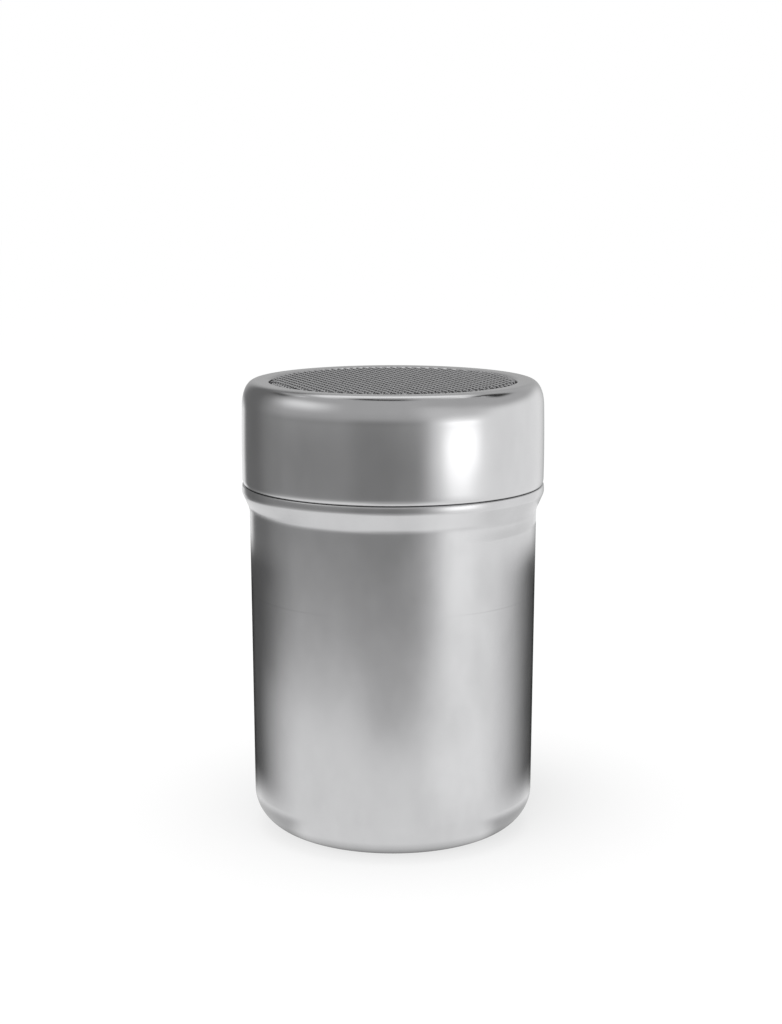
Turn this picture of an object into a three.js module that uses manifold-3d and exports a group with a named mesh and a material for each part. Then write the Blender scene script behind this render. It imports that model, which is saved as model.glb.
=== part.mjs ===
// Mesh-topped shaker for powdered sugar, cocoa or ground spice: a drawn steel cup and a screw-on
// lid whose round window is closed by woven wire cloth.
// Millimetres, +Z up, origin at the centre of the foot, all the round pieces turned about Z.

import * as THREE from 'three';
import { mergeVertices } from 'three/addons/utils/BufferGeometryUtils.js';
import Module from 'manifold-3d';

const wasm = await Module();
wasm.setup();

// Clearance between pieces that touch on the real shaker
const seatGap = 0.3;

// Cup: one drawn sheet, from the kicked-up base to the rolled rim of the neck
const cupWall = 0.6;
const cupDiameter = 66.72; // wall just below the flare
const cupDraft = 0.43; // the wall stands this much further in at its rounded corner
const cornerWidth = 10.4;
const cornerHeight = 9.3;
const footWidth = 1.6; // flat ring that the cup stands on
const baseKick = 1.2; // the base panel lies this far above the foot
const kickRun = 1.8; // radial run of the step between foot and base panel
const flareAngle = 25; // degrees from upright
const flareFillet = 0.9; // the bend into the flare starts and ends this far from its corner
const beadReach = 1.74; // the bead stands this far out from the wall
const beadHeight = 80.9; // level of the bead's widest line
const beadUnderRadius = 3.0;
const beadOverRadius = 0.85;
const threadRoom = 1.365; // between the neck and the lid's sleeve, where the thread runs
const neckHeight = 11.55; // above the bead's ledge
const neckFillet = 0.8;
const rimRollRadius = 0.75;

// Lid shell: one spun sheet, from the curled lower edge to the lip round the window
const shellWall = 0.45;
const lidInset = 0.07; // the skirt's widest line stands this far inside the bead's
const lidWidestAboveFoot = 7.95; // level of that line above the skirt's lower edge
const skirtCrown = 0.115; // the skirt draws in by this much up to the start of the shoulder
const curlRadius = 0.6;
const skirtHeight = 17.75; // from the lower edge to the start of the shoulder
const shoulderWidth = 3.3;
const shoulderHeight = 6.2;
const shoulderPower = 2.25; // 2 gives an ellipse, and more a squarer shoulder
const ringWidth = 3.015; // from the shoulder's crest to the window's edge
const lipRadius = 0.7;
const ringFall = 0.06; // from the shoulder's crest down to the lip

// Lid sleeve: the collar inside the skirt that carries the thread and the screen
const sleeveWall = 0.6;
const sleeveFootAboveLedge = 2.25;
const sleeveCornerRadius = 2.0;
const sleeveShelf = 2.8; // the sleeve's mouth lies this far inside the screen's frame

// Screen: wire cloth pressed into a shallow hat, whose brim a crimped frame holds.
// The cloth has fewer and thicker wires than the real one, which has 1.2 mm from wire to wire.
const clothPitch = 3.4;
const clothAngle = -22.5; // degrees from the X axis to the first set of wires
const wireHalfWidth = 0.26;
const wireHalfHeight = 0.28;
const wireCrimp = 0.2; // each wire weaves this far above and below the middle of the cloth
const clothRise = 0.26; // the cloth stands this far above the window's lip
const windowGap = 0.5; // between the window's edge and the hat
const hatWall = 1.1;
const hatBend = 0.9;
const brimBend = 0.25;
const hatEdgeDepth = 0.96; // full thickness of the woven cloth at the hat's edge
const brimOverlap = 2.0; // the brim reaches this far under the window's edge
const brimThickness = 0.45;
const frameSheet = 0.3;
const frameUpperLip = 1.8; // radial reach of the frame's lips
const frameLowerLip = 2.2;

// Facets round the axis
const turnSteps = 44;

const cupRadius = cupDiameter / 2;
const beadRadius = cupRadius + beadReach;
const lidRadius = beadRadius - lidInset;
const sleeveRadius = lidRadius - skirtCrown - shellWall - seatGap;
const neckRadius = sleeveRadius - sleeveWall - threadRoom;
const crestRadius = lidRadius - skirtCrown - shoulderWidth;
const windowRadius = crestRadius - ringWidth;
const hatRadius = windowRadius - windowGap;
const brimRadius = windowRadius + brimOverlap;
const ledgeHeight = beadHeight + beadOverRadius;
const skirtFoot = ledgeHeight + seatGap;
const lidWidestHeight = skirtFoot + lidWidestAboveFoot;
const shoulderStartHeight = skirtFoot + skirtHeight;
const crestHeight = shoulderStartHeight + shoulderHeight;
const ringHeight = crestHeight - ringFall;
const clothHeight = ringHeight + clothRise;
const frameTop = ringHeight - shellWall - seatGap;
const brimTop = frameTop - frameSheet - seatGap;
const brimFoot = brimTop - brimThickness;
const frameFoot = brimFoot - seatGap - frameSheet;
const frameRadius = brimRadius + seatGap + frameSheet;
const sleeveTop = frameFoot - seatGap;

const radians = THREE.MathUtils.degToRad;
const at = (r, z) => new THREE.Vector2(r, z);

// Points along an ellipse's arc, with angles in degrees from +r towards +z.
function arc(center, width, height, from, to, steps) {
  return Array.from({ length: steps + 1 }, (_, i) => {
    const a = radians(from + ((to - from) * i) / steps);
    return at(center.x + width * Math.cos(a), center.y + height * Math.sin(a));
  });
}

// The line that runs beside a path, to its left, at one wall's thickness.
function besideLeft(path, thickness) {
  const normals = path.slice(1).map((p, i) => {
    const along = p.clone().sub(path[i]).normalize();
    return at(-along.y, along.x);
  });
  return path.map((p, i) => {
    const mitre = normals[Math.max(i - 1, 0)].clone().add(normals[Math.min(i, normals.length - 1)]);
    return p.clone().addScaledVector(mitre, (2 * thickness) / mitre.lengthSq());
  });
}

// An outline in r and z, turned about Z. An open one starts and ends on the axis.
function turned(outline) {
  const open = outline[0].x === 0;
  const geometry = new THREE.LatheGeometry(open ? outline : [...outline, outline[0]], turnSteps);
  return geometry.rotateX(Math.PI / 2);
}

// A sheet of even thickness whose outer face follows the path, with the metal on the path's left.
const sheet = (path, thickness) => turned([...path, ...besideLeft(path, thickness).reverse()]);

function cupGeometry() {
  const footRadius = cupRadius - cupDraft - cornerWidth;
  const panelRadius = footRadius - footWidth - kickRun;
  const under = at(beadRadius - beadUnderRadius, beadHeight);
  const over = at(beadRadius - beadOverRadius, beadHeight);
  const bead = arc(under, beadUnderRadius, beadUnderRadius, -flareAngle, 0, 3);
  const flare = at(Math.sin(radians(flareAngle)), Math.cos(radians(flareAngle)));
  const bend = bead[0].clone().addScaledVector(flare, (cupRadius - bead[0].x) / flare.x);
  const fillet = at(neckRadius + neckFillet, ledgeHeight + neckFillet);
  const roll = at(neckRadius - rimRollRadius, ledgeHeight + neckHeight - rimRollRadius);
  const outer = [
    at(0, baseKick),
    at(panelRadius, baseKick),
    at(panelRadius + kickRun, 0),
    ...arc(at(footRadius, cornerHeight), cornerWidth, cornerHeight, -90, 0, 6),
    at(cupRadius, bend.y - flareFillet),
    bend.clone().addScaledVector(flare, flareFillet),
    ...bead,
    ...arc(over, beadOverRadius, beadOverRadius, 0, 90, 3).slice(1),
    ...arc(fillet, neckFillet, neckFillet, 270, 180, 2),
    at(neckRadius, roll.y),
  ];
  const inner = besideLeft(outer, cupWall).reverse();
  inner.at(-1).x = 0;
  const rim = arc(roll, rimRollRadius, rimRollRadius, 0, 225, 5).slice(1);
  inner[0].y = rim.at(-1).y;
  return turned([...outer, ...rim, ...inner]);
}

function lidShellGeometry() {
  const crown = skirtCrown / (shoulderStartHeight - lidWidestHeight) ** 2;
  const skirtRadius = (z) => lidRadius - crown * (z - lidWidestHeight) ** 2;
  const curlHeight = skirtFoot + curlRadius;
  const curl = at(skirtRadius(curlHeight) - curlRadius, curlHeight);
  const skirtSteps = 4;
  const skirt = Array.from({ length: skirtSteps }, (_, i) => {
    const z = THREE.MathUtils.lerp(curlHeight, shoulderStartHeight, (i + 1) / skirtSteps);
    return at(skirtRadius(z), z);
  });
  const shoulderFoot = at(crestRadius, shoulderStartHeight);
  const squared = (share) => Math.max(share, 0) ** (2 / shoulderPower);
  const shoulder = arc(at(0, 0), 1, 1, 0, 90, 6).slice(1).map((p) =>
    shoulderFoot.clone().add(at(shoulderWidth * squared(p.x), shoulderHeight * squared(p.y))));
  const lip = at(windowRadius + lipRadius, ringHeight - lipRadius);
  return sheet([
    ...arc(curl, curlRadius, curlRadius, -90, 0, 3),
    ...skirt,
    ...shoulder,
    ...arc(lip, lipRadius, lipRadius, 90, 180, 3),
  ], shellWall);
}

function lidSleeveGeometry() {
  const corner = at(sleeveRadius - sleeveCornerRadius, sleeveTop - sleeveCornerRadius);
  return sheet([
    at(sleeveRadius, ledgeHeight + sleeveFootAboveLedge),
    ...arc(corner, sleeveCornerRadius, sleeveCornerRadius, 0, 90, 4),
    at(frameRadius - sleeveShelf, sleeveTop),
  ], sleeveWall);
}

function screenFrameGeometry() {
  return sheet([
    at(frameRadius - frameLowerLip, frameFoot),
    at(frameRadius, frameFoot),
    at(frameRadius, frameTop),
    at(frameRadius - frameUpperLip, frameTop),
  ], frameSheet);
}

// The hat's edge and brim, where the cloth is pressed flat and solid.
function hatRimGeometry() {
  const edge = at(hatRadius - hatBend, clothHeight - hatBend);
  return turned([
    at(hatRadius - hatWall, clothHeight),
    at(hatRadius - hatWall, clothHeight - hatEdgeDepth),
    at(hatRadius - brimThickness, brimFoot),
    at(brimRadius, brimFoot),
    at(brimRadius, brimTop),
    at(hatRadius + brimBend, brimTop),
    at(hatRadius, brimTop + brimBend),
    ...arc(edge, hatBend, hatBend, 0, 90, 3),
  ]);
}

// One set of parallel wires, each weaving over and under the other set at every crossing.
function wiresGeometry(angle, firstSide) {
  const along = at(Math.cos(angle), Math.sin(angle));
  const across = at(-along.y, along.x);
  const middle = clothHeight - wireCrimp - wireHalfHeight;
  const reach = hatRadius - hatWall / 2;
  const count = Math.floor((reach - wireHalfWidth) / clothPitch);
  const corners = [[wireHalfWidth, 0], [0, wireHalfHeight], [-wireHalfWidth, 0], [0, -wireHalfHeight]];
  const sides = corners.length;
  const positions = [];
  const faces = [];
  for (let i = -count; i <= count; i++) {
    const half = Math.sqrt(reach ** 2 - (i * clothPitch) ** 2);
    const last = Math.floor((half - wireHalfWidth) / clothPitch);
    const stations = [[-half, 0]];
    for (let j = -last; j <= last; j++) {
      stations.push([j * clothPitch, (i + j) % 2 === 0 ? firstSide : -firstSide]);
    }
    stations.push([half, 0]);
    const first = positions.length / 3;
    stations.forEach(([distance, side], k) => {
      for (const [width, height] of corners) {
        const p = along.clone().multiplyScalar(distance)
          .addScaledVector(across, i * clothPitch + width);
        positions.push(p.x, p.y, middle + side * wireCrimp + height);
      }
      const ring = first + k * sides;
      for (let s = 0; k > 0 && s < sides; s++) {
        const a = ring + s;
        const b = ring + ((s + 1) % sides);
        faces.push(a - sides, b - sides, b, a - sides, b, a);
      }
    });
    const end = positions.length / 3 - sides;
    faces.push(first, first + 2, first + 1, first, first + 3, first + 2);
    faces.push(end, end + 1, end + 2, end, end + 2, end + 3);
  }
  const geometry = new THREE.BufferGeometry();
  geometry.setAttribute('position', new THREE.Float32BufferAttribute(positions, 3));
  return geometry.setIndex(faces);
}

// A closed mesh as a solid for joining.
function solid(geometry) {
  const bare = geometry.clone();
  bare.deleteAttribute('normal');
  bare.deleteAttribute('uv');
  const merged = mergeVertices(bare);
  return new wasm.Manifold(new wasm.Mesh({
    numProp: 3,
    vertProperties: new Float32Array(merged.getAttribute('position').array),
    triVerts: new Uint32Array(merged.getIndex().array),
  }));
}

function wireScreenGeometry() {
  const angle = radians(clothAngle);
  const joined = solid(hatRimGeometry())
    .add(solid(wiresGeometry(angle, 1)))
    .add(solid(wiresGeometry(angle + Math.PI / 2, -1)));
  const { vertProperties, triVerts } = joined.getMesh();
  const geometry = new THREE.BufferGeometry();
  geometry.setAttribute('position', new THREE.BufferAttribute(vertProperties, 3));
  geometry.setIndex(new THREE.BufferAttribute(triVerts, 1));
  return geometry;
}

const steel = (color, roughness) => new THREE.MeshStandardMaterial({ color, roughness, metalness: 1 });

function piece(name, geometry, material) {
  const mesh = new THREE.Mesh(geometry, material);
  mesh.name = name;
  return mesh;
}

const screen = new THREE.Group();
screen.add(
  piece('wire_screen', wireScreenGeometry(), steel(0x9c9da0, 0.35)),
  piece('screen_frame', screenFrameGeometry(), steel(0x8f9093, 0.4)),
);

const lid = new THREE.Group();
lid.add(
  piece('lid_shell', lidShellGeometry(), steel(0xb4b4b7, 0.22)),
  piece('lid_sleeve', lidSleeveGeometry(), steel(0xa2a3a6, 0.35)),
);

const shaker = new THREE.Group();
shaker.add(piece('cup', cupGeometry(), steel(0xb2b2b5, 0.28)), screen, lid);

export default shaker;
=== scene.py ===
# %% [markdown]
# This notebook dresses a steel shaker for powdered sugar, cocoa or ground spice. It has a drawn
# cup, a spun lid that screws on, and a round window of woven wire cloth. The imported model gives
# the frame: every size below is either read from it or added to it, so nothing has to be fitted.

import bpy
import numpy as np
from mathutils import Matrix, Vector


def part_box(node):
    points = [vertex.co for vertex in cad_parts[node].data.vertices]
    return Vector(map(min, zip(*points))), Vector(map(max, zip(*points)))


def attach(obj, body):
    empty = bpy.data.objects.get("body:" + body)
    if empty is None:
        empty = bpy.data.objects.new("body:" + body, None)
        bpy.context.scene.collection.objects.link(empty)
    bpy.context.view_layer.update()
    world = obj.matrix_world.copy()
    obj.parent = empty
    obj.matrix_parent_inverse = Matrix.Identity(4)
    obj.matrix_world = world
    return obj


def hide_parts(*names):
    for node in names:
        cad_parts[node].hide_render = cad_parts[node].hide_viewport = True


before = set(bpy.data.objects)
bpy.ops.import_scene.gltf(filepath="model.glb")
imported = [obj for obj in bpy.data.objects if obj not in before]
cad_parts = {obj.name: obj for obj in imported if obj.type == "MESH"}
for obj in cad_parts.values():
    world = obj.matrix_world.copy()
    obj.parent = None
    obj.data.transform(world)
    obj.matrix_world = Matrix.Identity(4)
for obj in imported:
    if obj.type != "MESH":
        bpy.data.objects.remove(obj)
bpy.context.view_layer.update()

# %% [markdown]
# All the pieces are round, so a piece's box already gives its outer radius and its two levels.
# The outlines are drawn in millimetres, because a sheet of 0.45 mm is easier to read than one of
# 0.00045 m, and one helper turns them into metres when the mesh is made.

# %% Sizes that come from the frame
MM = 0.001


def sizes_of(node):
    """Outer radius, lowest level and highest level of a node, in millimetres."""
    low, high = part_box(node)
    return high.x / MM, low.z / MM, high.z / MM


bead_radius, _, neck_top = sizes_of("cup")
lid_radius, skirt_foot, crest_level = sizes_of("lid_shell")
sleeve_radius, sleeve_foot, sleeve_top = sizes_of("lid_sleeve")
strip_radius, strip_foot, strip_top = sizes_of("screen_frame")
brim_radius, _, cloth_top = sizes_of("wire_screen")
print("bead", bead_radius, "lid", lid_radius, "crest", crest_level, "cloth", cloth_top)

# %% [markdown]
# A pressed piece is a path through its section, given a wall. The path is made of straight runs
# and arcs, so three small helpers draw every outline: an arc, a straight run, and a polygon whose
# corners are rounded. Points lie closely, less than a quarter of a millimetre apart on the bends,
# because polished steel shows every facet in what it reflects.

# %% Runs, arcs and rounded corners
BEND_STEP, FEWEST_BEND_STEPS = 0.22, 6
RUN_STEP = 0.9
SAME_POINT = 1e-4


def arc(centre, width, height, start, end):
    """Points centre + (width cos a, height sin a), with a going from start to end in degrees."""
    length = max(width, height) * np.radians(abs(end - start))
    count = max(int(np.ceil(length / BEND_STEP)), FEWEST_BEND_STEPS)
    a = np.radians(np.linspace(start, end, count + 1))
    return np.stack([centre[0] + width * np.cos(a), centre[1] + height * np.sin(a)], 1)


def run(start, end):
    """Points start + t (end - start), with t from 0 to 1, and RUN_STEP apart or a little less."""
    start, end = np.array(start, float), np.array(end, float)
    count = max(int(np.ceil(np.linalg.norm(end - start) / RUN_STEP)), 1)
    t = np.linspace(0, 1, count + 1)
    return start + t[:, None] * (end - start)


def rounded(corners, radii):
    """A polygon path whose inner corners are arcs: each arc touches both of its corner's sides."""
    corners = [np.array(c, float) for c in corners]
    pieces, last = [], corners[0]
    for before, corner, after, radius in zip(corners, corners[1:], corners[2:], radii):
        u = (before - corner) / np.linalg.norm(before - corner)
        v = (after - corner) / np.linalg.norm(after - corner)
        half = np.arccos(np.clip(u @ v, -1, 1)) / 2
        middle = corner + (u + v) / np.linalg.norm(u + v) * radius / np.sin(half)
        first, second = corner + u * radius / np.tan(half), corner + v * radius / np.tan(half)
        a = np.degrees(np.arctan2(*(first - middle)[::-1]))
        b = np.degrees(np.arctan2(*(second - middle)[::-1]))
        b = a + (b - a + 180) % 360 - 180
        pieces += [run(last, first), arc(middle, radius, radius, a, b)]
        last = second
    return join(*pieces, run(last, corners[-1]))


def join(*paths):
    """Paths end to end, without the points that two of them share."""
    points = np.concatenate(paths)
    apart = np.linalg.norm(np.diff(points, axis=0), axis=1) > SAME_POINT
    return points[np.concatenate([[True], apart])]


# %% [markdown]
# The wall itself could come from a Solidify modifier. Moving the path sideways by one wall does
# the same in one line, and it lets a half circle at each end round off the sheet's cut edges.

# %% Giving a path its wall
def beside(path, wall):
    """The path moved to its left by one wall: point + wall * (the direction turned a quarter left)."""
    along = np.gradient(path, axis=0)
    along /= np.linalg.norm(along, axis=1)[:, None]
    return path + wall * np.stack([-along[:, 1], along[:, 0]], 1)


def walled(path, wall):
    """A closed outline round a sheet: the path, a half circle at each end, and the path's left side."""
    inner = beside(path, wall)
    ends = []
    for first, second in ((path[-1], inner[-1]), (inner[0], path[0])):
        middle, a = (first + second) / 2, np.degrees(np.arctan2(*(first - second)[::-1]))
        ends.append(arc(middle, wall / 2, wall / 2, a, a + 180)[1:-1])
    return join(path, ends[0], inner[::-1], ends[1])


# %% [markdown]
# Turning an outline about the axis gives the piece. With numpy the whole surface is one grid of
# points, so there is no loop over them. The outline may be pushed in or out as it goes round,
# which is how the thread is rolled into the sheet later on.

# %% Turning outlines into meshes
TURN_STEPS = 200


def make_mesh(name, points, faces):
    """A smooth-shaded mesh object at the origin, from points in millimetres and rows of corners."""
    mesh = bpy.data.meshes.new(name)
    mesh.from_pydata((points * MM).tolist(), [], [row for group in faces for row in group.tolist()])
    mesh.polygons.foreach_set("use_smooth", np.ones(len(mesh.polygons), bool))
    mesh.update()
    piece = bpy.data.objects.new(name, mesh)
    bpy.context.scene.collection.objects.link(piece)
    print(name, "has", len(mesh.vertices), "points and", len(mesh.polygons), "faces")
    return piece


def turned(name, outline, push=None):
    """Each outline point (r, z) goes round the axis: (r cos a, r sin a, z), and push(a, r, z) is
    added to r. An outline that starts and ends on the axis gets a single point at each pole."""
    poles = outline[0, 0] < SAME_POINT
    rings = outline[1:-1] if poles else outline
    a = np.linspace(0, 2 * np.pi, TURN_STEPS, endpoint=False)[None, :]
    r, z = rings[:, :1], rings[:, 1:]
    r = r + (push(a, r, z) if push else 0)
    points = np.stack([r * np.cos(a), r * np.sin(a), z + 0 * a], -1).reshape(-1, 3)
    count = len(rings)
    ring = np.arange(count - 1 if poles else count)[:, None]
    step = np.arange(TURN_STEPS)[None, :]
    onward, around = (ring + 1) % count, (step + 1) % TURN_STEPS
    quads = np.stack([ring * TURN_STEPS + step, ring * TURN_STEPS + around,
                      onward * TURN_STEPS + around, onward * TURN_STEPS + step], -1).reshape(-1, 4)
    if not poles:
        return make_mesh(name, points, [quads])
    low, high = len(points), len(points) + 1
    points = np.concatenate([points, [[0, 0, outline[0, 1]], [0, 0, outline[-1, 1]]]])
    first, last = step[0], (count - 1) * TURN_STEPS + step[0]
    start = np.stack([np.full(TURN_STEPS, low), np.roll(first, -1), first], -1)
    end = np.stack([np.full(TURN_STEPS, high), last, np.roll(last, -1)], -1)
    return make_mesh(name, points, [quads, start, end])


# %% [markdown]
# The thread is a round bead rolled into the sheet, so both sides of the wall move together. It
# could be a coil laid over the neck, but rolled sheet has no seam there, so the wall itself is
# pushed out. The bead's crest climbs by one lead each turn. A point at angle a can meet it on more
# than one turn, so the push is the sum over the turns.

# %% The rolled thread
# the fade, the sweep and the turn back are in degrees
THREAD_LEAD = 5.0
THREAD_HEIGHT = 0.9
THREAD_WIDTH = 2.5
THREAD_FADE = 35.0
NECK_THREAD_START = 84.5
NECK_THREAD_SWEEP = 440.0
SLEEVE_THREAD_TURN_BACK = 86.0


def ease(x):
    """Smooth step: 3 x squared minus 2 x cubed, with x held between 0 and 1."""
    x = np.clip(x, 0, 1)
    return x * x * (3 - 2 * x)


def thread(start_level, start_angle, sweep, height):
    """Push for one rolled bead: height * half of (1 + cos) across its width, centred on the level
    start_level + lead * turns since start_angle, and eased over the first and last degrees."""
    def push(a, r, z):
        total = 0
        for turn in (0, 1, 2):
            since = np.degrees(a) % 360 - start_angle % 360 + 360 * turn
            centre = start_level + THREAD_LEAD * since / 360
            across = np.clip((z - centre) / (THREAD_WIDTH / 2), -1, 1)
            ends = ease(since / THREAD_FADE) * ease((sweep - since) / THREAD_FADE)
            total = total + height * ends * (1 + np.cos(np.pi * across)) / 2
        return total
    return push


# %% [markdown]
# The cup is one drawn sheet. From the middle of its raised base panel the section steps down to a
# narrow foot ring, swings round the big corner, runs up the nearly straight wall, flares out into
# the bead that carries the lid, and turns back in to the neck and its rolled rim. The bead's face
# is nearly flat and leans in a little towards its top, and that shows as one even light line under
# the seam. A Screw modifier on a drawn curve would make the same cup. An outline in numbers keeps
# each bend's radius at hand, and the bends are what the reflections show.

# %% The drawn cup
CUP_WALL, CUP_DRAFT = 0.6, 0.6
BEAD_REACH = 1.74
CORNER_WIDTH, CORNER_HEIGHT = 10.4, 9.3
FOOT_WIDTH, FOOT_BEND = 1.6, 0.8
KICK_RUN, BASE_KICK, PANEL_BEND = 1.8, 1.2, 1.0
FLARE_ANGLE, FLARE_BEND = 23.5, 4.0
SEAM_GAP = 0.06
LEDGE_LEVEL = skirt_foot - SEAM_GAP
BEAD_UNDER, BEAD_FACE, BEAD_OVER = 2.5, 7.0, 0.25
FACE_ANGLE = 8.0
NECK_INSET, NECK_FILLET = 2.9, 0.8
RIM_ROLL, RIM_SWEEP = 0.75, 250.0
# the inner wall ends below the middle of the rolled rim, by this share of the roll's radius
RIM_JOIN_SHARE = 0.95


def cup_outline():
    """Outer path from the axis to the rim, then the rolled rim, then the inner path back. The
    bead is three arcs with one common tangent where they meet, and the flare is the tangent of the
    lowest of them at the flare's angle, bent into the wall by a fillet."""
    wall = bead_radius - BEAD_REACH
    foot = wall - CUP_DRAFT - CORNER_WIDTH
    neck = bead_radius - NECK_INSET
    lean = np.radians(FACE_ANGLE)
    tip = np.array([np.cos(lean), np.sin(lean)]) * (BEAD_FACE - BEAD_OVER)
    bead_level = LEDGE_LEVEL - BEAD_OVER - tip[1]
    under = arc((bead_radius - BEAD_UNDER, bead_level), BEAD_UNDER, BEAD_UNDER, -FLARE_ANGLE, 0)
    face = arc((bead_radius - BEAD_FACE, bead_level), BEAD_FACE, BEAD_FACE, 0, FACE_ANGLE)
    slope = np.tan(np.radians(FLARE_ANGLE))
    bend = (wall, under[0, 1] - (under[0, 0] - wall) / slope)
    base = rounded([(0, BASE_KICK), (foot - FOOT_WIDTH - KICK_RUN, BASE_KICK), (foot - FOOT_WIDTH, 0),
                    (foot, 0)], [PANEL_BEND, FOOT_BEND])
    corner = arc((foot, CORNER_HEIGHT), CORNER_WIDTH, CORNER_HEIGHT, -90, 0)
    flare = rounded([(wall - CUP_DRAFT, CORNER_HEIGHT), bend, under[0]], [FLARE_BEND])
    turn_in = (bead_radius - BEAD_FACE + tip[0], bead_level + tip[1])
    over = arc(turn_in, BEAD_OVER, BEAD_OVER, FACE_ANGLE, 90)
    fillet = arc((neck + NECK_FILLET, LEDGE_LEVEL + NECK_FILLET), NECK_FILLET, NECK_FILLET, 270, 180)
    roll = (neck - RIM_ROLL, neck_top - RIM_ROLL)
    outer = join(base, corner, flare, under, face, over, fillet, run(fillet[-1], (neck, roll[1])))
    inner = beside(outer, CUP_WALL)[::-1]
    inner[-1, 0] = 0
    rim = arc(roll, RIM_ROLL, RIM_ROLL, 0, RIM_SWEEP)
    inner = inner[inner[:, 1] < roll[1] - RIM_ROLL * RIM_JOIN_SHARE]
    return join(outer, rim, inner)


print("the cup's outline has", len(cup_outline()), "points")

# %% [markdown]
# The neck's thread fades out before the fillet at the ledge and before the rim, because a push
# there would bend those too.

# %% The neck's thread, and the cup
THREAD_MARGIN = 0.5

neck_thread = thread(NECK_THREAD_START, 0, NECK_THREAD_SWEEP, THREAD_HEIGHT)


def neck_push(a, r, z):
    """The thread, on the neck alone: above the ledge and below the rolled rim."""
    above_ledge = ease((z - LEDGE_LEVEL - NECK_FILLET) / THREAD_MARGIN)
    below_rim = ease((neck_top - 2 * RIM_ROLL - z) / THREAD_MARGIN)
    return neck_thread(a, r, z) * (above_ledge * below_rim)


cup = turned("drawn_cup", cup_outline(), neck_push)
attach(cup, "cup")
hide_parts("cup")

# %% [markdown]
# The lid is spun from thinner sheet. Its lower edge is curled in so that it isn't sharp, and just
# above the curl the sheet is tucked in on a wider bend, whose reflection is a narrow band by itself.
# The skirt is very slightly barrel-shaped, which is why the highlight on it has soft ends. The
# shoulder is a squared-off quarter turn, because a plain arc would look too round there, and the
# ring round the window dips a little to its lip.

# %% The spun lid
SHELL_WALL = 0.45
CURL_RADIUS = 0.25
TUCK_RADIUS, TUCK_ANGLE = 3.4, 23.0
WIDEST_ABOVE_FOOT = 7.95
SKIRT_CROWN = 0.115
SKIRT_HEIGHT, SKIRT_POINTS = 17.75, 24
SHOULDER_WIDTH, SHOULDER_HEIGHT, SHOULDER_POWER = 3.3, 6.2, 2.25
SHOULDER_POINTS = 64
RING_WIDTH, RING_FALL = 3.015, 0.06
LIP_RADIUS, LIP_END = 0.7, 185.0


def skirt_radius(level):
    """Barrel shape: lid radius minus a share of the squared distance from the widest level."""
    span = SKIRT_HEIGHT - WIDEST_ABOVE_FOOT
    return lid_radius - SKIRT_CROWN * ((level - skirt_foot - WIDEST_ABOVE_FOOT) / span) ** 2


def lid_path():
    """Outer path of the lid from its curled edge, over the tuck above it, up the skirt and over
    the shoulder to the lip. The tuck ends where its slope is the skirt's own. The shoulder is a
    quarter of a superellipse: width * cos(a) ^ (2 / power) out, height * sin(a) ^ (2 / power) up."""
    turn = np.radians(TUCK_ANGLE)
    lean = 2 * SKIRT_CROWN / (SKIRT_HEIGHT - WIDEST_ABOVE_FOOT)
    middle = skirt_foot + CURL_RADIUS + (TUCK_RADIUS - CURL_RADIUS) * np.sin(turn)
    start, shoulder_level = middle - lean * TUCK_RADIUS, skirt_foot + SKIRT_HEIGHT
    tuck_axis = skirt_radius(start) - TUCK_RADIUS
    curl_axis = tuck_axis + (TUCK_RADIUS - CURL_RADIUS) * np.cos(turn)
    curl = arc((curl_axis, skirt_foot + CURL_RADIUS), CURL_RADIUS, CURL_RADIUS, -90, -TUCK_ANGLE)
    tuck = arc((tuck_axis, middle), TUCK_RADIUS, TUCK_RADIUS, -TUCK_ANGLE, -np.degrees(lean))
    levels = np.linspace(start, shoulder_level, SKIRT_POINTS)
    skirt = np.stack([skirt_radius(levels), levels], 1)
    crest = lid_radius - SKIRT_CROWN - SHOULDER_WIDTH
    quarter = np.radians(np.linspace(0, 90, SHOULDER_POINTS))
    squared = 2 / SHOULDER_POWER
    shoulder = np.stack([crest + SHOULDER_WIDTH * np.clip(np.cos(quarter), 0, 1) ** squared,
                         shoulder_level + SHOULDER_HEIGHT * np.sin(quarter) ** squared], 1)
    lip = (crest - RING_WIDTH + LIP_RADIUS, crest_level - RING_FALL - LIP_RADIUS)
    edge = arc(lip, LIP_RADIUS, LIP_RADIUS, 90, LIP_END)
    return join(curl, tuck[:-1], skirt, shoulder, run(shoulder[-1], edge[0]), edge)


lid = turned("spun_lid", walled(lid_path(), SHELL_WALL))
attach(lid, "lid")
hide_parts("lid_shell")

# %% [markdown]
# Inside the lid a second pressed collar carries the thread, so the outside stays smooth. Its
# flange at the top holds the screen up against the lid's lip. The bead goes inwards here, half a
# lead away from the neck's bead, so the two hook past each other and never touch as the lid turns.

# %% The threaded sleeve
SLEEVE_WALL = 0.6
SLEEVE_CORNER = 2.0
SLEEVE_SHELF = 2.8
SLEEVE_TOP_MARGIN, SLEEVE_FOOT_MARGIN = 1.5, 0.8

sleeve_path = rounded([(sleeve_radius, sleeve_foot), (sleeve_radius, sleeve_top),
                       (strip_radius - SLEEVE_SHELF, sleeve_top)], [SLEEVE_CORNER])
half_lead_off = NECK_THREAD_START + THREAD_LEAD / 2
sleeve_thread = thread(half_lead_off - THREAD_LEAD * SLEEVE_THREAD_TURN_BACK / 360,
                       -SLEEVE_THREAD_TURN_BACK, NECK_THREAD_SWEEP, -THREAD_HEIGHT)


def sleeve_push(a, r, z):
    """The thread, on the upright part of the sleeve alone."""
    below_corner = ease((sleeve_top - SLEEVE_CORNER - z) / SLEEVE_TOP_MARGIN)
    return sleeve_thread(a, r, z) * below_corner * ease((z - sleeve_foot) / SLEEVE_FOOT_MARGIN)


sleeve = turned("threaded_sleeve", walled(sleeve_path, SLEEVE_WALL), sleeve_push)
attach(sleeve, "lid")
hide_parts("lid_sleeve")

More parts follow.
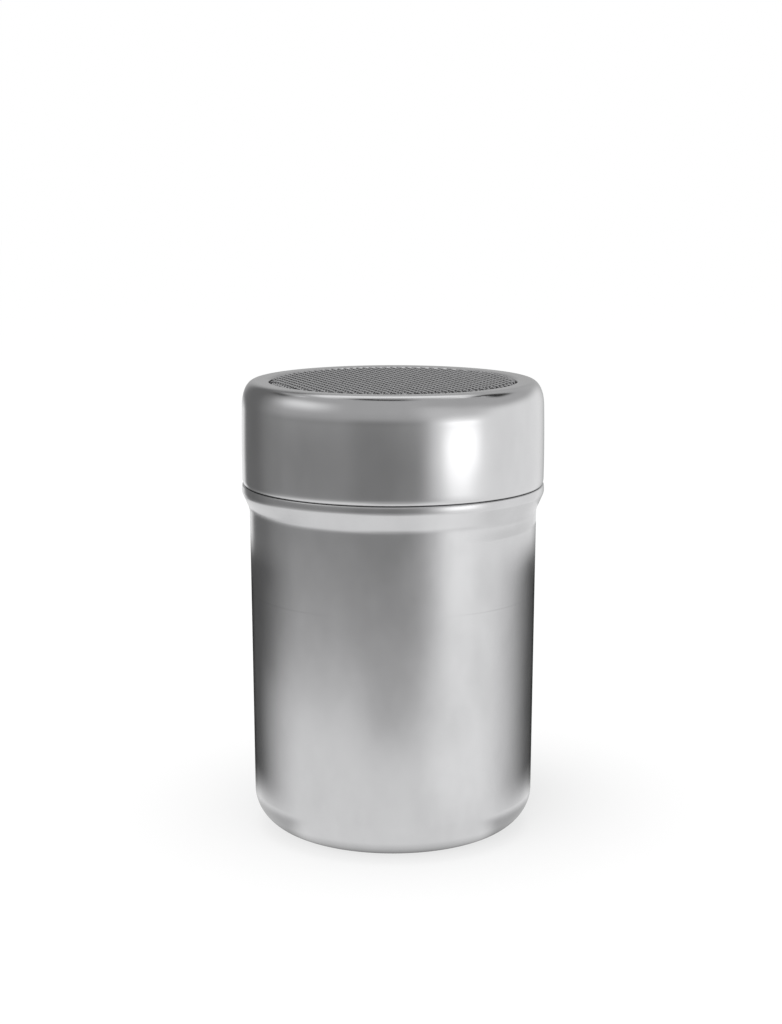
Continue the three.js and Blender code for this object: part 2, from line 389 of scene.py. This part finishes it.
# %% [markdown]
# The cloth's edge would fray, so a strip of sheet is crimped round it. Its section is a letter U
# that lies on its side and opens towards the axis. It is made like the sleeve, from a rounded path
# with a wall.

# %% The crimped strip round the screen
STRIP_SHEET = 0.3
STRIP_BEND = 0.42
STRIP_UPPER_LIP, STRIP_LOWER_LIP = 1.8, 2.2

strip_path = rounded([(strip_radius - STRIP_LOWER_LIP, strip_foot), (strip_radius, strip_foot),
                      (strip_radius, strip_top), (strip_radius - STRIP_UPPER_LIP, strip_top)],
                     [STRIP_BEND, STRIP_BEND])
strip = turned("crimped_strip", walled(strip_path, STRIP_SHEET))
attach(strip, "screen")
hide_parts("screen_frame")

# %% [markdown]
# The wire cloth is pressed into a shallow hat. Its flat top fills the window and stands a hair
# above the ring round it, its side goes down inside the lip, and its brim lies in the crimped
# strip. Only the middle line of the cloth is drawn here, and the wires come next.

# %% The hat that the cloth is pressed into
WIRE_RADIUS = 0.18
WARP_CRIMP, WEFT_CRIMP = 0.33, 0.03
HAT_SIDE_INSET = 2.5
HAT_BEND_WIDTH, HAT_BEND_HEIGHT, BRIM_BEND = 1.6, 0.62, 0.45


def hat_section():
    """Middle line of the pressed cloth: across the window, down the hat's side and out to the brim."""
    top_level = cloth_top - WARP_CRIMP - WIRE_RADIUS
    brim_level = (strip_foot + strip_top) / 2
    side = brim_radius - HAT_SIDE_INSET - WIRE_RADIUS
    bend = arc((side - HAT_BEND_WIDTH, top_level - HAT_BEND_HEIGHT), HAT_BEND_WIDTH, HAT_BEND_HEIGHT, 90, 0)
    wall = rounded([bend[-1], (side, brim_level), (brim_radius, brim_level)], [BRIM_BEND])
    return join(run((0, top_level), bend[0]), bend, wall)


def onto_hat(points):
    """Carries flat cloth points (x, y, height) onto the hat, along its section by their distance
    from the axis, and square to it by their height."""
    section = hat_section()
    length = np.concatenate([[0], np.cumsum(np.linalg.norm(np.diff(section, axis=0), axis=1))])
    square = beside(section, 1.0) - section
    reach = np.hypot(points[:, 0], points[:, 1])
    r = np.interp(reach, length, section[:, 0]) + points[:, 2] * np.interp(reach, length, square[:, 0])
    z = np.interp(reach, length, section[:, 1]) + points[:, 2] * np.interp(reach, length, square[:, 1])
    out = points[:, :2] / np.maximum(reach, SAME_POINT)[:, None]
    return np.stack([out[:, 0] * r, out[:, 1] * r, z], 1), length[-1]


print("hat section from the axis to the brim:", hat_section()[[0, -1]].tolist())

# %% [markdown]
# The cloth is plain weave: each wire goes over one and under the next. The wires of one set, the
# warp, take nearly all the bends, and those of the other, the weft, run almost straight between
# them. An array modifier could repeat one wire, but each wire here has its own length and bends
# over the hat's edge. So the cloth is woven flat first, as arrays, and every point is then carried
# onto the hat: its distance from the middle becomes a distance along the hat's section, and its
# height above the cloth becomes a height square to that section.

# %% Weaving the wires
WIRE_PITCH, WIRE_ANGLE = 1.158, -22.5
WIRE_SIDES, STATIONS_PER_PITCH = 7, 6


def wire_faces(inside):
    """Faces of the tubes. A ring of points stands at each station that is inside, and the rings
    are numbered wire by wire. Four-sided faces join each ring to the next one on its wire, and one
    many-sided face closes each end."""
    number = np.cumsum(inside.ravel()).reshape(inside.shape) - 1
    both = inside[:, :-1] & inside[:, 1:]
    here, there = number[:, :-1][both][:, None], number[:, 1:][both][:, None]
    side = np.arange(WIRE_SIDES)[None, :]
    onward = (side + 1) % WIRE_SIDES
    tube = np.stack([here * WIRE_SIDES + side, there * WIRE_SIDES + side,
                     there * WIRE_SIDES + onward, here * WIRE_SIDES + onward], -1).reshape(-1, 4)
    used = inside.any(1)
    first = np.where(inside, number, number.size).min(1)[used][:, None]
    last = number.max(1)[used][:, None]
    return [tube, first * WIRE_SIDES + side, last * WIRE_SIDES + side[:, ::-1]]


def wire_set(name, angle, crimp):
    """Parallel wires side by side: the middle of each lies at height side * crimp * cos(pi t / pitch)
    for a distance t along it, with the side changing from wire to wire. Each station carries a ring
    of points round that middle, square to the wire."""
    reach = onto_hat(np.zeros((1, 3)))[1] - WIRE_RADIUS
    count = int(reach / WIRE_PITCH)
    step = WIRE_PITCH / STATIONS_PER_PITCH
    row = np.arange(-count, count + 1)[:, None]
    place = np.arange(-int(reach / step), int(reach / step) + 1)[None, :]
    c, t = row * WIRE_PITCH, place * step
    inside = c ** 2 + t ** 2 < reach ** 2
    side = crimp * np.where(row % 2 == 0, 1, -1)
    height = side * np.cos(np.pi * t / WIRE_PITCH)
    lean = -side * np.pi / WIRE_PITCH * np.sin(np.pi * t / WIRE_PITCH)
    a = 2 * np.pi * (np.arange(WIRE_SIDES) + 0.5) / WIRE_SIDES
    across, up = WIRE_RADIUS * np.cos(a), WIRE_RADIUS * np.sin(a)
    flat = 1 / np.sqrt(1 + lean ** 2)[..., None]
    along = np.broadcast_to(t, inside.shape)[..., None] - up * lean[..., None] * flat
    sideways = np.broadcast_to(c, inside.shape)[..., None] + across
    raised = height[..., None] + up * flat
    turn = np.radians(angle)
    x = along * np.cos(turn) - sideways * np.sin(turn)
    y = along * np.sin(turn) + sideways * np.cos(turn)
    points = np.stack([x, y, raised], -1)[inside].reshape(-1, 3)
    return make_mesh(name, onto_hat(points)[0], wire_faces(inside))


warp = wire_set("warp_wires", WIRE_ANGLE, WARP_CRIMP)
weft = wire_set("weft_wires", WIRE_ANGLE + 90, -WEFT_CRIMP)
for wires in (warp, weft):
    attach(wires, "screen")
    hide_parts("wire_screen")

# %% [markdown]
# Steel has almost no colour of its own: it looks like what it reflects. What makes it steel and
# not a mirror is how it blurs that. Three things do it here. The roughness blurs everything a
# little. A soft mottle, a few millimetres across, stands for the press marks left in the sheet.
# Fine lines that run level round the piece stand for polishing. Mottle and lines are noise in
# Object coordinates, so they stay on the steel when it moves. A picture of scratched steel would
# need a UV map and would repeat. First come three helpers for shader nodes.

# %% Helpers for shader nodes
NOISE_LOW, NOISE_HIGH, NOISE_ROUGHNESS = 0.3, 0.7, 0.55


def node(tree, kind, **values):
    """A new shader node with its properties and input values set."""
    made = tree.nodes.new(kind)
    for key, value in values.items():
        if key in made.inputs:
            made.inputs[key].default_value = value
        else:
            setattr(made, key, value)
    return made


def noise(tree, sizes_mm, detail):
    """Noise in Object coordinates whose features have the given sizes along X, Y and Z."""
    place = node(tree, "ShaderNodeTexCoord")
    scale = node(tree, "ShaderNodeMapping", Scale=[1 / (size * MM) for size in sizes_mm])
    field = node(tree, "ShaderNodeTexNoise", Scale=1.0, Detail=detail, Roughness=NOISE_ROUGHNESS)
    tree.links.new(place.outputs["Object"], scale.inputs["Vector"])
    tree.links.new(scale.outputs["Vector"], field.inputs["Vector"])
    return field.outputs["Fac"]


def spread(tree, value, low, high):
    """Carries noise, which lies mostly between NOISE_LOW and NOISE_HIGH, onto low to high."""
    made = node(tree, "ShaderNodeMapRange")
    levels = {"From Min": NOISE_LOW, "From Max": NOISE_HIGH, "To Min": low, "To Max": high}
    for socket, number in levels.items():
        made.inputs[socket].default_value = number
    tree.links.new(value, made.inputs["Value"])
    return made.outputs["Result"]


# %% [markdown]
# One function makes every steel of the shaker. The outer pieces are polished, so their roughness
# is low, and the sleeve and the strip inside the lid are left dull. The mottle moves the tint, the
# roughness and a bump of a few thousandths of a millimetre, and the lines move a finer bump.

# %% The steels
MOTTLE_STRETCH, MOTTLE_DETAIL = 1.6, 2.0
LINE_LENGTH, LINE_DETAIL = 40.0, 1.0
TONE_LOW, TONE_HIGH, BLUE_SHARE = 0.965, 1.035, 1.012
ROUGH_LOW, ROUGH_HIGH = 0.9, 1.12
FINISHES = (
    # pieces, name, tone, roughness, mottle width and depth, line width and depth in millimetres
    ((cup,), "cup_satin", 0.575, 0.2, 7.0, 0.01, 1.1, 0.0004),
    ((lid,), "lid_polish", 0.585, 0.15, 9.0, 0.005, 0.9, 0.0003),
    ((sleeve,), "sleeve_dull", 0.52, 0.34, 5.0, 0.01, 0.6, 0.0008),
    ((strip,), "strip_dull", 0.5, 0.3, 4.0, 0.01, 0.6, 0.0006),
    ((warp, weft), "wire_bright", 0.5, 0.28, 2.0, 0.004, 0.6, 0.0003),
)


def steel(name, tone, roughness, mottle_mm, mottle_depth_mm, line_mm, line_depth_mm):
    """Polished sheet: one tone of grey, its roughness moved by the mottle, and two bumps."""
    material = bpy.data.materials.new(name)
    material.use_nodes = True
    tree = material.node_tree
    shader = tree.nodes["Principled BSDF"]
    shader.inputs["Metallic"].default_value = 1.0
    mottle = noise(tree, (mottle_mm, mottle_mm, MOTTLE_STRETCH * mottle_mm), MOTTLE_DETAIL)
    lines = noise(tree, (LINE_LENGTH, LINE_LENGTH, line_mm), LINE_DETAIL)
    tint = node(tree, "ShaderNodeCombineColor")
    for channel, share in (("Red", 1.0), ("Green", 1.0), ("Blue", BLUE_SHARE)):
        channel_tone = spread(tree, mottle, TONE_LOW * tone * share, TONE_HIGH * tone * share)
        tree.links.new(channel_tone, tint.inputs[channel])
    tree.links.new(tint.outputs["Color"], shader.inputs["Base Color"])
    blur = spread(tree, mottle, ROUGH_LOW * roughness, ROUGH_HIGH * roughness)
    tree.links.new(blur, shader.inputs["Roughness"])
    waves = node(tree, "ShaderNodeBump", Strength=1.0, Distance=mottle_depth_mm * MM)
    scratches = node(tree, "ShaderNodeBump", Strength=1.0, Distance=line_depth_mm * MM)
    tree.links.new(mottle, waves.inputs["Height"])
    tree.links.new(lines, scratches.inputs["Height"])
    tree.links.new(waves.outputs["Normal"], scratches.inputs["Normal"])
    tree.links.new(scratches.outputs["Normal"], shader.inputs["Normal"])
    return material


for pieces, *finish in FINISHES:
    made = steel(*finish)
    for piece in pieces:
        piece.data.materials.append(made)
    print(finish[0], "covers", [piece.name for piece in pieces])

# %% [markdown]
# One faint dark reflection is painted into the cup's tint as a darker line that runs level round
# the cup, about two thirds of the way up to the bead. The photograph shows it at both sides and
# not in the middle, so it fades out there. As a line cut into the mesh it would need hundreds of
# thin faces, and as a painted change of tint it needs none.

# %% The dark reflection painted on the cup
REFLECTION_LINE_LEVEL, REFLECTION_LINE_WIDTH, REFLECTION_LINE_DARKNESS = 56.8, 0.2, 0.09
REFLECTION_LINE_FROM, REFLECTION_LINE_FULL = 10.0, 22.0


def painted_reflection_line(material, level, width, fade_from, fade_to, depth):
    """A painted reflection: a faint darker line at one level. It fades out where |X| is small: the
    tint is multiplied by 1 - depth * line(|Z - level|) * side(|X|)."""
    tree = material.node_tree
    tint = tree.nodes["Principled BSDF"].inputs["Base Color"]
    before = tint.links[0].from_socket
    place = node(tree, "ShaderNodeTexCoord")
    split = node(tree, "ShaderNodeSeparateXYZ")
    tree.links.new(place.outputs["Object"], split.inputs["Vector"])
    shares = []
    for axis, middle, start, end in (("Z", level, width, 0), ("X", 0, fade_from, fade_to)):
        away = node(tree, "ShaderNodeMath", operation="SUBTRACT")
        away.inputs[1].default_value = middle * MM
        size = node(tree, "ShaderNodeMath", operation="ABSOLUTE")
        share = node(tree, "ShaderNodeMapRange")
        share.inputs["From Min"].default_value = start * MM
        share.inputs["From Max"].default_value = end * MM
        tree.links.new(split.outputs[axis], away.inputs[0])
        tree.links.new(away.outputs[0], size.inputs[0])
        tree.links.new(size.outputs[0], share.inputs["Value"])
        shares.append(share.outputs["Result"])
    both = node(tree, "ShaderNodeMath", operation="MULTIPLY")
    rest = node(tree, "ShaderNodeMath", operation="MULTIPLY_ADD")
    rest.inputs[1].default_value, rest.inputs[2].default_value = -depth, 1.0
    scaled = node(tree, "ShaderNodeVectorMath", operation="SCALE")
    tree.links.new(shares[0], both.inputs[0])
    tree.links.new(shares[1], both.inputs[1])
    tree.links.new(both.outputs[0], rest.inputs[0])
    tree.links.new(before, scaled.inputs[0])
    tree.links.new(rest.outputs[0], scaled.inputs["Scale"])
    tree.links.new(scaled.outputs["Vector"], tint)


# painted reflection: a dark line laid into the cup's tint
painted_reflection_line(cup.data.materials[0], REFLECTION_LINE_LEVEL, REFLECTION_LINE_WIDTH, REFLECTION_LINE_FROM, REFLECTION_LINE_FULL,
         REFLECTION_LINE_DARKNESS)
print("hairline at", REFLECTION_LINE_LEVEL, "of", round(neck_top, 1), "mm")

# %% [markdown]
# Photographers stand a light tent round polished steel, because the steel shows the whole room.
# Lamps could light it here too, but each would leave its own hard spot. So the tent is one sheet
# with a floor, a wall and a dome, and its brightness is worked out for each point as soft patches
# laid over one another, later ones over earlier ones. The front is dim, because the photographer
# stands there. The right is light and has a bright strip light, a soft box stands on the left, and
# a large one hangs overhead.

# %% The patches of light on the tent
TENT_BASE = 0.56
TENT_PATCHES = (
    # middle, half width and soft edge in azimuth, the same three in rise, brightness; in degrees
    # the wall all round, the floor, and the dim front
    (0, 180, 0, -20, 15, 7, 0.42),
    (0, 180, 0, -70, 35.5, 16.5, 1.0),
    (0, 20, 16, -38, 9, 10, 0.53),
    (-6, 24, 14, -22, 5, 4, 0.38),
    (-30, 64, 14, -6, 13, 10, 0.5),
    (-36, 62, 14, -10.5, 8, 5.5, 0.33),
    (-11, 17, 10, -10.5, 8, 5.5, 0.27),
    # the light right side, the soft box on the left, and the parts behind
    (88, 58, 16, -35, 47, 8, 1.06),
    (45, 24, 12, 14, 12, 8, 0.78),
    (80, 40, 18, 30, 12, 10, 0.56),
    (-70, 21, 18, 22, 9, 9, 1.08),
    (-128, 30, 22, 6, 36, 12, 0.19),
    (180, 28, 12, 18, 18, 8, 0.48),
    (-152, 10, 6, -13, 9, 4, 1.0),
    # the soft box overhead, and small parts of the dome that only the ring round the window shows
    (180, 100, 30, 78, 21, 5, 1.2),
    (-14, 36, 18, 67, 6, 3.5, 0.03),
    (106, 13, 5, 43, 9, 4, 0.03),
    (96, 6, 4, 51, 3, 2, 0.05),
    (84, 5, 4, 58, 3, 3, 1.4),
    (93.5, 2.5, 2, 46.5, 2, 1.5, 1.2),
    (-112, 12, 6, 37, 4, 3, 0.12),
    (-140, 14, 8, 46, 5, 5, 0.2),
    (-96, 6, 5, 47, 3, 2, 0.85),
    (-119, 5, 4, 43, 2, 2, 0.6),
    # the strip light on the right, with what it throws on the tent's floor
    (51, 11, 9, -19, 12, 8, 1.2),
    (50, 22, 14, -58, 8, 8, 1.2),
    (46, 15, 12, -7.5, 6, 6, 1.35),
    (48, 11.5, 6, -7.2, 2.2, 3.2, 2.4),
    (47, 8, 6, -10.5, 2.5, 3, 1.9),
    # the tent's floor close to the cup, which its bottom corner shows, with painted shade beside the cup
    # and a painted shadow under it
    (-88, 34, 8, -79.5, 3.5, 2, 0.6),
    (88, 34, 8, -79.5, 3.5, 2, 0.55),
    (180, 64, 12, -75, 6, 3, 0.45),
    (0, 180, 0, -88, 7.4, 1.5, 0.08),
)


def tent_light(azimuth, rise):
    """Brightness in a direction: each patch pulls the light towards its own level, by the product
    of two soft boxes, one in azimuth and one in rise."""
    light = np.full(np.broadcast(azimuth, rise).shape, TENT_BASE)
    for middle, half, soft, rise_middle, rise_half, rise_soft, level in TENT_PATCHES:
        away = np.abs((azimuth - middle + 180) % 360 - 180)
        over = np.abs(rise - rise_middle)
        share = ease((half - away) / (2 * soft) + 0.5) if soft else 1.0
        share = share * ease((rise_half - over) / (2 * rise_soft) + 0.5)
        light = light + (level - light) * share
    return light


patch_levels = [patch[-1] for patch in TENT_PATCHES]
print(len(TENT_PATCHES), "patches of light, from", min(patch_levels), "to", max(patch_levels))

# %% [markdown]
# The sheet is a grid of azimuth and rise, as fine as the patches' soft edges need. Its floor has a
# small hole in the middle, under the cup, so that no faces meet in one point there.

# %% The light tent
TENT_RADIUS, TENT_LEVEL = 178.0, 100.0
TENT_HOLE, TENT_DROP = 12.0, 0.02
TENT_TOP_RISE = 89.5
TENT_STEPS, TENT_FLOOR_ROWS, TENT_WALL_ROWS = 240, 60, 110


def tent_mesh():
    """A floor, a wall and a dome in one sheet, told apart by the rise. From the floor's middle the
    rise grows with the radius, then up the wall as (z - level) / R in degrees, and from the tent's
    level on it is the dome's own angle: (R cos e, level + R sin e)."""
    lowest = -np.degrees(TENT_LEVEL / TENT_RADIUS)
    inmost = lowest - np.degrees(1 - TENT_HOLE / TENT_RADIUS)
    azimuth = np.linspace(-180, 180, TENT_STEPS, endpoint=False)[None, :]
    rise = np.concatenate([np.linspace(inmost, lowest, TENT_FLOOR_ROWS),
                           np.linspace(lowest, TENT_TOP_RISE, TENT_WALL_ROWS)[1:]])[:, None]
    inward = np.radians(np.clip(lowest - rise, 0, None))
    r = TENT_RADIUS * np.where(rise > 0, np.cos(np.radians(rise)), 1 - inward)
    z = TENT_LEVEL + TENT_RADIUS * np.where(rise > 0, np.sin(np.radians(rise)), np.radians(rise) + inward)
    x, y = r * np.sin(np.radians(azimuth)), -r * np.cos(np.radians(azimuth))
    points = np.stack([x, y, z - TENT_DROP + 0 * x], -1).reshape(-1, 3)
    row, col = np.arange(len(rise) - 1)[:, None] * TENT_STEPS, np.arange(TENT_STEPS)[None, :]
    after = (col + 1) % TENT_STEPS
    faces = np.stack([row + col, row + TENT_STEPS + col, row + TENT_STEPS + after, row + after], -1)
    made = make_mesh("light_tent", points, [faces.reshape(-1, 4)])
    light = made.data.attributes.new("light", "FLOAT", "POINT")
    light.data.foreach_set("value", tent_light(azimuth, rise).astype(np.float32).ravel())
    return made


def reflections_only(piece):
    """Stage piece that only mirror-like rays meet: it casts no shadow and the camera looks through it."""
    piece.visible_camera = piece.visible_diffuse = piece.visible_shadow = False
    piece.visible_transmission = piece.visible_volume_scatter = False


def glowing(name, attribute):
    """Light whose strength is an attribute of the mesh."""
    material = bpy.data.materials.new(name)
    material.use_nodes = True
    tree = material.node_tree
    tree.nodes.clear()
    level = node(tree, "ShaderNodeAttribute", attribute_name=attribute)
    glow = node(tree, "ShaderNodeEmission", Color=(1, 1, 1, 1))
    out = node(tree, "ShaderNodeOutputMaterial")
    tree.links.new(level.outputs["Fac"], glow.inputs["Strength"])
    tree.links.new(glow.outputs["Emission"], out.inputs["Surface"])
    return material, tree, glow, out


tent = tent_mesh()
tent.data.materials.append(glowing("tent_cloth", "light")[0])
reflections_only(tent)

# %% [markdown]
# Two low black cards stand close beside the cup, a little behind it. They draw the dark bands
# down its edges, which is what separates bright steel from a white background. Before each one
# stands a narrower card that is darker still, because the bands are darkest at the very edge. All
# stop below the lid, whose edges stay light. A real card has hard ends. These fade out at their
# ends, tops and feet, so that the bands have no line from the front or from behind.

# %% A card that fades out
CARD_STEPS, CARD_ROWS = 80, 24


def card(name, side, radius, z, azimuth, cover, light):
    """A sheet through the points (radius, z) at each azimuth, to the left (side -1) or the right
    (side 1). It shines with the given light where its cover is 1 and is clear where it is 0."""
    x = side * radius * np.sin(np.radians(azimuth))
    y = -radius * np.cos(np.radians(azimuth))
    rows, steps = np.broadcast(x, z).shape
    points = np.stack([x + 0 * z, y + 0 * z, z + 0 * x], -1).reshape(-1, 3)
    row, col = np.arange(rows - 1)[:, None] * steps, np.arange(steps - 1)[None, :]
    faces = np.stack([row + col, row + col + 1, row + steps + col + 1, row + steps + col], -1)
    made = make_mesh(name, points, [faces.reshape(-1, 4)])
    share = made.data.attributes.new("cover", "FLOAT", "POINT")
    share.data.foreach_set("value", (cover + 0 * x + 0 * z).astype(np.float32).ravel())
    material, tree, glow, out = glowing(name + "_paper", "cover")
    level = tree.nodes["Attribute"]
    tree.links.remove(glow.inputs["Strength"].links[0])
    glow.inputs["Strength"].default_value = light
    clear = node(tree, "ShaderNodeBsdfTransparent")
    mix = node(tree, "ShaderNodeMixShader")
    tree.links.new(level.outputs["Fac"], mix.inputs["Fac"])
    tree.links.new(clear.outputs["BSDF"], mix.inputs[1])
    tree.links.new(glow.outputs["Emission"], mix.inputs[2])
    tree.links.new(mix.outputs["Shader"], out.inputs["Surface"])
    made.data.materials.append(material)
    reflections_only(made)
    return made


# %% The black cards
CARD_RADIUS = 50.0
CARD_FOOT, CARD_FOOT_SOFT = -2.0, 9.0
CARD_END, CARD_END_SOFT = 152.0, 26.0
BLACK_CARDS = (
    # name, side, how far nearer, azimuths where it starts and is full, top and its soft edge, light
    ("left_card", -1, 0.0, 52.0, 108.0, 65.0, 7.0, 0.1),
    ("right_card", 1, 0.0, 50.0, 111.0, 68.0, 11.0, 0.1),
    ("left_dark_card", -1, 0.5, 110.0, 122.0, 58.0, 8.0, 0.02),
    ("right_dark_card", 1, 0.5, 110.0, 122.0, 60.0, 8.0, 0.02),
)


def black_card(name, side, inset, start, full, top, top_soft, light):
    """A curved card round the axis. Its cover is the product of four smooth steps: from 0 to 1
    between two azimuths, from 1 to 0 before its rear end, from 0 to 1 above its foot, and from 1
    to 0 below its top."""
    azimuth = np.linspace(start, CARD_END, CARD_STEPS)[None, :]
    z = np.linspace(CARD_FOOT, top, CARD_ROWS)[:, None]
    cover = ease((azimuth - start) / (full - start)) * ease((top - z) / top_soft)
    cover = cover * ease((z - CARD_FOOT) / CARD_FOOT_SOFT) * ease((CARD_END - azimuth) / CARD_END_SOFT)
    return card(name, side, CARD_RADIUS - inset + 0 * z, z, azimuth, cover, light)


for values in BLACK_CARDS:
    black_card(*values)

# %% [markdown]
# Under the flare of the cup lies a narrow white ring, level and close to the wall, as a sheet of
# paper with a round hole would. It keeps the cards out of the flare, which is light all round in
# the photograph. It has two halves, because the flare isn't the same on the left and the right.

# %% The white collar
COLLAR_START, COLLAR_START_SOFT, COLLAR_END = 30.0, 25.0, 175.0
COLLAR_INNER, COLLAR_OUTER_SOFT, COLLAR_LIGHT = 34.2, 1.5, 0.94
COLLAR_HALVES = (
    # name, side, level and outer radius in millimetres
    ("left_collar", -1, 75.9, 38.5),
    ("right_collar", 1, 72.5, 42.0),
)


def white_collar(name, side, level, outer):
    """A flat half ring. Its cover fades in from the front, and out towards its outer edge."""
    azimuth = np.linspace(COLLAR_START, COLLAR_END, CARD_STEPS)[None, :]
    radius = np.linspace(COLLAR_INNER, outer, CARD_ROWS)[:, None]
    cover = ease((azimuth - COLLAR_START) / COLLAR_START_SOFT) * ease((outer - radius) / COLLAR_OUTER_SOFT)
    return card(name, side, radius, level + 0 * radius, azimuth, cover, COLLAR_LIGHT)


for values in COLLAR_HALVES:
    white_collar(*values)

# %% [markdown]
# The floor is a white sheet. Part of its brightness is its own glow, and part is light that it
# scatters, so the shaker's shadow only takes away the second part and stays pale, as in the
# photograph. Its glow also sinks a little towards the shaker, as a wide soft painted shadow like
# the one in the photograph. Reflections meet the tent's own floor first, which lies a hair above
# this sheet.

# %% What the camera and reflections see
def for_camera_and_mirrors(tree):
    """1 for rays from the camera, from reflections and through glass, and 0 for all the others."""
    path = node(tree, "ShaderNodeLightPath")
    seen = node(tree, "ShaderNodeMath", operation="MAXIMUM")
    seen_too = node(tree, "ShaderNodeMath", operation="MAXIMUM")
    tree.links.new(path.outputs["Is Camera Ray"], seen.inputs[0])
    tree.links.new(path.outputs["Is Glossy Ray"], seen.inputs[1])
    tree.links.new(seen.outputs[0], seen_too.inputs[0])
    tree.links.new(path.outputs["Is Transmission Ray"], seen_too.inputs[1])
    return seen_too.outputs[0]


# %% The floor
FLOOR_SIZE, FLOOR_DROP = 6000.0, 0.04
FLOOR_GLOW, FLOOR_WHITE = 0.81, 0.2
# painted shadow: the floor's glow is lowered in a wide soft patch round the shaker
PAINTED_SHADOW, PAINTED_SHADOW_RADIUS, PAINTED_SHADOW_RUN = 0.125, 33.0, 25.0
PAINTED_SHADOW_CENTRE = (8.0, 27.0)


def floor_material():
    """Emission plus diffuse white for the camera and for reflections, and diffuse white alone for
    the light that the floor passes on. The emission sinks towards the shaker as a painted shadow: it
    is glow - shadow * exp((radius - distance) / run), with the distance from the shadow's centre."""
    material = bpy.data.materials.new("white_sheet")
    material.use_nodes = True
    tree = material.node_tree
    tree.nodes.clear()
    glow_level = node(tree, "ShaderNodeMath", operation="MULTIPLY")
    place = node(tree, "ShaderNodeTexCoord")
    distance = node(tree, "ShaderNodeVectorMath", operation="DISTANCE")
    distance.inputs[1].default_value = (PAINTED_SHADOW_CENTRE[0] * MM, PAINTED_SHADOW_CENTRE[1] * MM, 0)
    power = node(tree, "ShaderNodeMath", operation="MULTIPLY_ADD")
    power.inputs[1].default_value = -1 / (PAINTED_SHADOW_RUN * MM)
    power.inputs[2].default_value = PAINTED_SHADOW_RADIUS / PAINTED_SHADOW_RUN
    near = node(tree, "ShaderNodeMath", operation="EXPONENT")
    glow_less_painted_shadow = node(tree, "ShaderNodeMath", operation="MULTIPLY_ADD")
    glow_less_painted_shadow.inputs[1].default_value, glow_less_painted_shadow.inputs[2].default_value = -PAINTED_SHADOW, FLOOR_GLOW
    tree.links.new(place.outputs["Object"], distance.inputs[0])
    tree.links.new(distance.outputs["Value"], power.inputs[0])
    tree.links.new(power.outputs[0], near.inputs[0])
    tree.links.new(near.outputs[0], glow_less_painted_shadow.inputs[0])
    tree.links.new(glow_less_painted_shadow.outputs[0], glow_level.inputs[1])
    glow = node(tree, "ShaderNodeEmission", Color=(1, 1, 1, 1))
    white = node(tree, "ShaderNodeBsdfDiffuse", Color=(FLOOR_WHITE, FLOOR_WHITE, FLOOR_WHITE, 1))
    both = node(tree, "ShaderNodeAddShader")
    out = node(tree, "ShaderNodeOutputMaterial")
    tree.links.new(for_camera_and_mirrors(tree), glow_level.inputs[0])
    tree.links.new(glow_level.outputs[0], glow.inputs["Strength"])
    tree.links.new(glow.outputs[0], both.inputs[0])
    tree.links.new(white.outputs[0], both.inputs[1])
    tree.links.new(both.outputs[0], out.inputs["Surface"])
    return material


half = FLOOR_SIZE / 2
floor = make_mesh("floor", np.array([[-half, -half, -FLOOR_DROP], [half, -half, -FLOOR_DROP],
                                     [half, half, -FLOOR_DROP], [-half, half, -FLOOR_DROP]]),
                  [np.array([[0, 1, 2, 3]])])
floor.data.materials.append(floor_material())

# %% [markdown]
# The world is plain white for the camera, and nearly as bright as the light that falls on the
# floor from all round. One large soft lamp overhead makes the floor a little lighter in the
# middle. Reflections don't see the lamp, because the tent already has a soft box there.

# %% World and lamp
WORLD_LIGHT = 0.95
LAMP_HEIGHT, LAMP_SIZE, LAMP_POWER = 700.0, 500.0, 1.6

world = bpy.data.worlds.new("white_room")
bpy.context.scene.world = world
world.use_nodes = True
tree = world.node_tree
level = node(tree, "ShaderNodeMapRange")
level.inputs["To Min"].default_value = WORLD_LIGHT
tree.links.new(for_camera_and_mirrors(tree), level.inputs["Value"])
tree.nodes["Background"].inputs["Color"].default_value = (1, 1, 1, 1)
tree.links.new(level.outputs["Result"], tree.nodes["Background"].inputs["Strength"])

lamp = bpy.data.objects.new("overhead_lamp", bpy.data.lights.new("overhead_lamp", "AREA"))
lamp.data.size = LAMP_SIZE * MM
lamp.data.energy = LAMP_POWER
lamp.location = (0, 0, LAMP_HEIGHT * MM)
lamp.visible_glossy = False
bpy.context.scene.collection.objects.link(lamp)
print("the world gives", WORLD_LIGHT, "and the lamp", LAMP_POWER, "W")

# %% [markdown]
# The camera stands where the photograph was taken from: a little above the lid and half a metre
# away, tipped down by ten degrees. The ovals of the window and the foot fix that angle.

# %% The camera
CAMERA_BACK, CAMERA_LEVEL, CAMERA_TIP = 480.0, 158.67, 9.902
LENS_MM, FILM_MM = 73.35, 36.0
PHOTO_LONG_SIDE_PX, AXIS_OFF_CENTRE_PX = 1024, 2.0
CLIP_NEAR_M, CLIP_FAR_M = 0.01, 20.0

camera = bpy.data.objects.new("photo_camera", bpy.data.cameras.new("photo_camera"))
camera.data.lens = LENS_MM
camera.data.sensor_width = FILM_MM
camera.data.shift_x = -AXIS_OFF_CENTRE_PX / PHOTO_LONG_SIDE_PX
camera.data.clip_start, camera.data.clip_end = CLIP_NEAR_M, CLIP_FAR_M
camera.location = (0, -CAMERA_BACK * MM, CAMERA_LEVEL * MM)
camera.rotation_euler = (np.radians(90 - CAMERA_TIP), 0, 0)
bpy.context.scene.collection.objects.link(camera)
bpy.context.scene.camera = camera
bpy.context.scene.view_settings.view_transform = "Standard"
print("the camera stands", CAMERA_BACK, "mm back and", CAMERA_LEVEL, "mm up")
